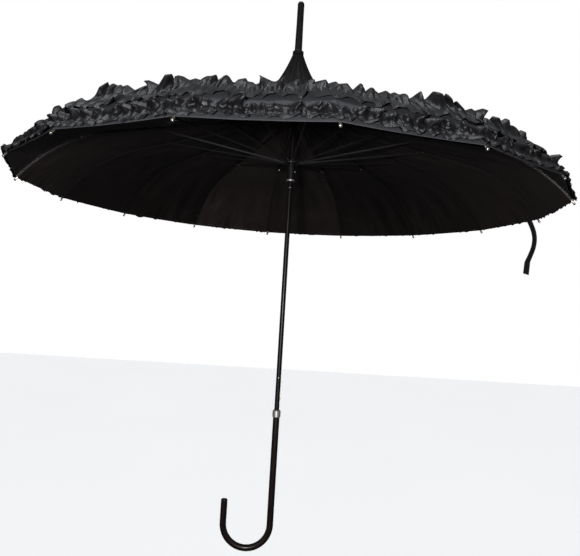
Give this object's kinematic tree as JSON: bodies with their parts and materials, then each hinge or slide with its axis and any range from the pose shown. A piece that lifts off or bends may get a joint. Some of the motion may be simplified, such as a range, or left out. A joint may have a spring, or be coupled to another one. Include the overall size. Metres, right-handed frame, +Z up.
{
  "type": "folding parasol",
  "caption": "Folding pagoda parasol with a pointed peak, a gored canopy edged with two gathered satin ruffles, a sliding runner, spring catches and a hook handle.",
  "frame": {"origin": "On the shaft axis, at the middle of the handle's straight grip", "axes": "+Z up the shaft to the tip, +X the side the catches stand out on, and the hook curls towards -X"},
  "size_m": [0.8828, 0.8828, 0.917],
  "materials": {
    "shaft_tube": "satin black paint",
    "tip_wood": "black-brown satin lacquer",
    "handle": "black-brown semi-gloss",
    "black_plastic": "moulded, matt",
    "rib_steel": "black enamel",
    "wire": "bright",
    "catch_steel": "dull",
    "bright_metal": "polished",
    "canopy_cloth": "tightly woven, soft sheen",
    "ruffle_satin": "satin"
  },
  "bodies": {
    "shaft": {"shaft_tube": "shaft_tube", "tip_rod": "tip_wood", "peak_collar": "tip_wood", "crown": "black_plastic", "crown_wire": "wire", "crown_pin": "wire", "catch_pins": "wire", "handle_hook": "handle", "handle_ferrule": "bright_metal", "canopy": "canopy_cloth", "upper_ruffle": "ruffle_satin", "lower_ruffle": "ruffle_satin"},
    "runner": {"runner": "black_plastic", "runner_wire": "wire", "runner_ring": "bright_metal"},
    "top_catch": {"top_catch": "catch_steel"},
    "bottom_catch": {"bottom_catch": "catch_steel"},
    "tie_strap": {"tie_strap": "ruffle_satin"},
    "rib_00": {"rib_00": "rib_steel"},
    "rib_01": {"rib_01": "rib_steel"},
    "rib_02": {"rib_02": "rib_steel"},
    "rib_03": {"rib_03": "rib_steel"},
    "rib_04": {"rib_04": "rib_steel"},
    "rib_05": {"rib_05": "rib_steel"},
    "rib_06": {"rib_06": "rib_steel"},
    "rib_07": {"rib_07": "rib_steel"},
    "rib_08": {"rib_08": "rib_steel"},
    "rib_09": {"rib_09": "rib_steel"},
    "rib_10": {"rib_10": "rib_steel"},
    "rib_11": {"rib_11": "rib_steel"},
    "rib_12": {"rib_12": "rib_steel"},
    "rib_13": {"rib_13": "rib_steel"},
    "rib_14": {"rib_14": "rib_steel"},
    "rib_15": {"rib_15": "rib_steel"},
    "stretcher_00": {"stretcher_00": "rib_steel"},
    "stretcher_01": {"stretcher_01": "rib_steel"},
    "stretcher_02": {"stretcher_02": "rib_steel"},
    "stretcher_03": {"stretcher_03": "rib_steel"},
    "stretcher_04": {"stretcher_04": "rib_steel"},
    "stretcher_05": {"stretcher_05": "rib_steel"},
    "stretcher_06": {"stretcher_06": "rib_steel"},
    "stretcher_07": {"stretcher_07": "rib_steel"},
    "stretcher_08": {"stretcher_08": "rib_steel"},
    "stretcher_09": {"stretcher_09": "rib_steel"},
    "stretcher_10": {"stretcher_10": "rib_steel"},
    "stretcher_11": {"stretcher_11": "rib_steel"},
    "stretcher_12": {"stretcher_12": "rib_steel"},
    "stretcher_13": {"stretcher_13": "rib_steel"},
    "stretcher_14": {"stretcher_14": "rib_steel"},
    "stretcher_15": {"stretcher_15": "rib_steel"}
  },
  "joints": [
    {"name": "canopy_fold", "type": "hinge", "parent": "shaft", "child": "rib_00", "pos_m": [0.01044, 0.00112, 0.571], "axis": [-0.1063, 0.9943, 0], "range_deg": [0, 71.6], "deforming": ["canopy", "upper_ruffle", "lower_ruffle", "top_catch", "bottom_catch"]},
    {"name": "rib_01_fold", "type": "hinge", "parent": "shaft", "child": "rib_01", "pos_m": [0.00922, 0.00503, 0.571], "axis": [-0.4787, 0.878, 0], "range_deg": [0, 71.6]},
    {"name": "rib_02_fold", "type": "hinge", "parent": "shaft", "child": "rib_02", "pos_m": [0.00659, 0.00817, 0.571], "axis": [-0.7782, 0.628, 0], "range_deg": [0, 71.6]},
    {"name": "rib_03_fold", "type": "hinge", "parent": "shaft", "child": "rib_03", "pos_m": [0.00296, 0.01007, 0.571], "axis": [-0.9593, 0.2823, 0], "range_deg": [0, 71.6]},
    {"name": "rib_04_fold", "type": "hinge", "parent": "shaft", "child": "rib_04", "pos_m": [-0.00112, 0.01044, 0.571], "axis": [-0.9943, -0.1063, 0], "range_deg": [0, 71.6]},
    {"name": "rib_05_fold", "type": "hinge", "parent": "shaft", "child": "rib_05", "pos_m": [-0.00503, 0.00922, 0.571], "axis": [-0.878, -0.4787, 0], "range_deg": [0, 71.6]},
    {"name": "rib_06_fold", "type": "hinge", "parent": "shaft", "child": "rib_06", "pos_m": [-0.00817, 0.00659, 0.571], "axis": [-0.628, -0.7782, 0], "range_deg": [0, 71.6]},
    {"name": "rib_07_fold", "type": "hinge", "parent": "shaft", "child": "rib_07", "pos_m": [-0.01007, 0.00296, 0.571], "axis": [-0.2823, -0.9593, 0], "range_deg": [0, 71.6]},
    {"name": "rib_08_fold", "type": "hinge", "parent": "shaft", "child": "rib_08", "pos_m": [-0.01044, -0.00112, 0.571], "axis": [0.1063, -0.9943, 0], "range_deg": [0, 71.6]},
    {"name": "rib_09_fold", "type": "hinge", "parent": "shaft", "child": "rib_09", "pos_m": [-0.00922, -0.00503, 0.571], "axis": [0.4787, -0.878, 0], "range_deg": [0, 71.6]},
    {"name": "rib_10_fold", "type": "hinge", "parent": "shaft", "child": "rib_10", "pos_m": [-0.00659, -0.00817, 0.571], "axis": [0.7782, -0.628, 0], "range_deg": [0, 71.6]},
    {"name": "rib_11_fold", "type": "hinge", "parent": "shaft", "child": "rib_11", "pos_m": [-0.00296, -0.01007, 0.571], "axis": [0.9593, -0.2823, 0], "range_deg": [0, 71.6]},
    {"name": "rib_12_fold", "type": "hinge", "parent": "shaft", "child": "rib_12", "pos_m": [0.00112, -0.01044, 0.571], "axis": [0.9943, 0.1063, 0], "range_deg": [0, 71.6]},
    {"name": "rib_13_fold", "type": "hinge", "parent": "shaft", "child": "rib_13", "pos_m": [0.00503, -0.00922, 0.571], "axis": [0.878, 0.4787, 0], "range_deg": [0, 71.6]},
    {"name": "rib_14_fold", "type": "hinge", "parent": "shaft", "child": "rib_14", "pos_m": [0.00817, -0.00659, 0.571], "axis": [0.628, 0.7782, 0], "range_deg": [0, 71.6]},
    {"name": "rib_15_fold", "type": "hinge", "parent": "shaft", "child": "rib_15", "pos_m": [0.01007, -0.00296, 0.571], "axis": [0.2823, 0.9593, 0], "range_deg": [0, 71.6]},
    {"name": "stretcher_00_pivot", "type": "hinge", "parent": "rib_00", "child": "stretcher_00", "pos_m": [0.22496, 0.02404, 0.53335], "axis": [-0.1063, 0.9943, 0], "range_deg": [-143.2, 0]},
    {"name": "stretcher_01_pivot", "type": "hinge", "parent": "rib_01", "child": "stretcher_01", "pos_m": [0.19863, 0.1083, 0.53335], "axis": [-0.4787, 0.878, 0], "range_deg": [-143.2, 0]},
    {"name": "stretcher_02_pivot", "type": "hinge", "parent": "rib_02", "child": "stretcher_02", "pos_m": [0.14207, 0.17607, 0.53335], "axis": [-0.7782, 0.628, 0], "range_deg": [-143.2, 0]},
    {"name": "stretcher_03_pivot", "type": "hinge", "parent": "rib_03", "child": "stretcher_03", "pos_m": [0.06388, 0.21703, 0.53335], "axis": [-0.9593, 0.2823, 0], "range_deg": [-143.2, 0]},
    {"name": "stretcher_04_pivot", "type": "hinge", "parent": "rib_04", "child": "stretcher_04", "pos_m": [-0.02404, 0.22496, 0.53335], "axis": [-0.9943, -0.1063, 0], "range_deg": [-143.2, 0]},
    {"name": "stretcher_05_pivot", "type": "hinge", "parent": "rib_05", "child": "stretcher_05", "pos_m": [-0.1083, 0.19863, 0.53335], "axis": [-0.878, -0.4787, 0], "range_deg": [-143.2, 0]},
    {"name": "stretcher_06_pivot", "type": "hinge", "parent": "rib_06", "child": "stretcher_06", "pos_m": [-0.17607, 0.14207, 0.53335], "axis": [-0.628, -0.7782, 0], "range_deg": [-143.2, 0]},
    {"name": "stretcher_07_pivot", "type": "hinge", "parent": "rib_07", "child": "stretcher_07", "pos_m": [-0.21703, 0.06388, 0.53335], "axis": [-0.2823, -0.9593, 0], "range_deg": [-143.2, 0]},
    {"name": "stretcher_08_pivot", "type": "hinge", "parent": "rib_08", "child": "stretcher_08", "pos_m": [-0.22496, -0.02404, 0.53335], "axis": [0.1063, -0.9943, 0], "range_deg": [-143.2, 0]},
    {"name": "stretcher_09_pivot", "type": "hinge", "parent": "rib_09", "child": "stretcher_09", "pos_m": [-0.19863, -0.1083, 0.53335], "axis": [0.4787, -0.878, 0], "range_deg": [-143.2, 0]},
    {"name": "stretcher_10_pivot", "type": "hinge", "parent": "rib_10", "child": "stretcher_10", "pos_m": [-0.14207, -0.17607, 0.53335], "axis": [0.7782, -0.628, 0], "range_deg": [-143.2, 0]},
    {"name": "stretcher_11_pivot", "type": "hinge", "parent": "rib_11", "child": "stretcher_11", "pos_m": [-0.06388, -0.21703, 0.53335], "axis": [0.9593, -0.2823, 0], "range_deg": [-143.2, 0]},
    {"name": "stretcher_12_pivot", "type": "hinge", "parent": "rib_12", "child": "stretcher_12", "pos_m": [0.02404, -0.22496, 0.53335], "axis": [0.9943, 0.1063, 0], "range_deg": [-143.2, 0]},
    {"name": "stretcher_13_pivot", "type": "hinge", "parent": "rib_13", "child": "stretcher_13", "pos_m": [0.1083, -0.19863, 0.53335], "axis": [0.878, 0.4787, 0], "range_deg": [-143.2, 0]},
    {"name": "stretcher_14_pivot", "type": "hinge", "parent": "rib_14", "child": "stretcher_14", "pos_m": [0.17607, -0.14207, 0.53335], "axis": [0.628, 0.7782, 0], "range_deg": [-143.2, 0]},
    {"name": "stretcher_15_pivot", "type": "hinge", "parent": "rib_15", "child": "stretcher_15", "pos_m": [0.21703, -0.06388, 0.53335], "axis": [0.2823, 0.9593, 0], "range_deg": [-143.2, 0]},
    {"name": "runner_pivot", "type": "hinge", "parent": "stretcher_00", "child": "runner", "pos_m": [0.01044, 0.00112, 0.4957], "axis": [-0.1063, 0.9943, 0], "range_deg": [0, 71.6]},
    {"name": "strap_seam", "type": "hinge", "parent": "rib_00", "child": "tie_strap", "pos_m": [0.43451, 0.04644, 0.434], "axis": [-0.1063, 0.9943, 0], "range_deg": [-71.6, 0]},
    {"name": "top_catch_press", "type": "hinge", "parent": "shaft", "child": "top_catch", "pos_m": [0, 0, 0.4538], "axis": [0, -1, 0], "range_deg": [0, 6.4], "stiffness_Nm_per_rad": 0.4, "springref_deg": -5.73},
    {"name": "bottom_catch_press", "type": "hinge", "parent": "shaft", "child": "bottom_catch", "pos_m": [0, 0, 0.1383], "axis": [0, 1, 0], "range_deg": [0, 6.4], "stiffness_Nm_per_rad": 0.4, "springref_deg": -5.73}
  ],
  "couplings": [
    {"joint": "rib_01_fold", "follows": "canopy_fold", "ratio": 1},
    {"joint": "rib_02_fold", "follows": "canopy_fold", "ratio": 1},
    {"joint": "rib_03_fold", "follows": "canopy_fold", "ratio": 1},
    {"joint": "rib_04_fold", "follows": "canopy_fold", "ratio": 1},
    {"joint": "rib_05_fold", "follows": "canopy_fold", "ratio": 1},
    {"joint": "rib_06_fold", "follows": "canopy_fold", "ratio": 1},
    {"joint": "rib_07_fold", "follows": "canopy_fold", "ratio": 1},
    {"joint": "rib_08_fold", "follows": "canopy_fold", "ratio": 1},
    {"joint": "rib_09_fold", "follows": "canopy_fold", "ratio": 1},
    {"joint": "rib_10_fold", "follows": "canopy_fold", "ratio": 1},
    {"joint": "rib_11_fold", "follows": "canopy_fold", "ratio": 1},
    {"joint": "rib_12_fold", "follows": "canopy_fold", "ratio": 1},
    {"joint": "rib_13_fold", "follows": "canopy_fold", "ratio": 1},
    {"joint": "rib_14_fold", "follows": "canopy_fold", "ratio": 1},
    {"joint": "rib_15_fold", "follows": "canopy_fold", "ratio": 1},
    {"joint": "stretcher_00_pivot", "follows": "canopy_fold", "ratio": -2},
    {"joint": "stretcher_01_pivot", "follows": "canopy_fold", "ratio": -2},
    {"joint": "stretcher_02_pivot", "follows": "canopy_fold", "ratio": -2},
    {"joint": "stretcher_03_pivot", "follows": "canopy_fold", "ratio": -2},
    {"joint": "stretcher_04_pivot", "follows": "canopy_fold", "ratio": -2},
    {"joint": "stretcher_05_pivot", "follows": "canopy_fold", "ratio": -2},
    {"joint": "stretcher_06_pivot", "follows": "canopy_fold", "ratio": -2},
    {"joint": "stretcher_07_pivot", "follows": "canopy_fold", "ratio": -2},
    {"joint": "stretcher_08_pivot", "follows": "canopy_fold", "ratio": -2},
    {"joint": "stretcher_09_pivot", "follows": "canopy_fold", "ratio": -2},
    {"joint": "stretcher_10_pivot", "follows": "canopy_fold", "ratio": -2},
    {"joint": "stretcher_11_pivot", "follows": "canopy_fold", "ratio": -2},
    {"joint": "stretcher_12_pivot", "follows": "canopy_fold", "ratio": -2},
    {"joint": "stretcher_13_pivot", "follows": "canopy_fold", "ratio": -2},
    {"joint": "stretcher_14_pivot", "follows": "canopy_fold", "ratio": -2},
    {"joint": "stretcher_15_pivot", "follows": "canopy_fold", "ratio": -2},
    {"joint": "runner_pivot", "follows": "canopy_fold", "ratio": 1},
    {"joint": "strap_seam", "follows": "canopy_fold", "ratio": -1}
  ]
}
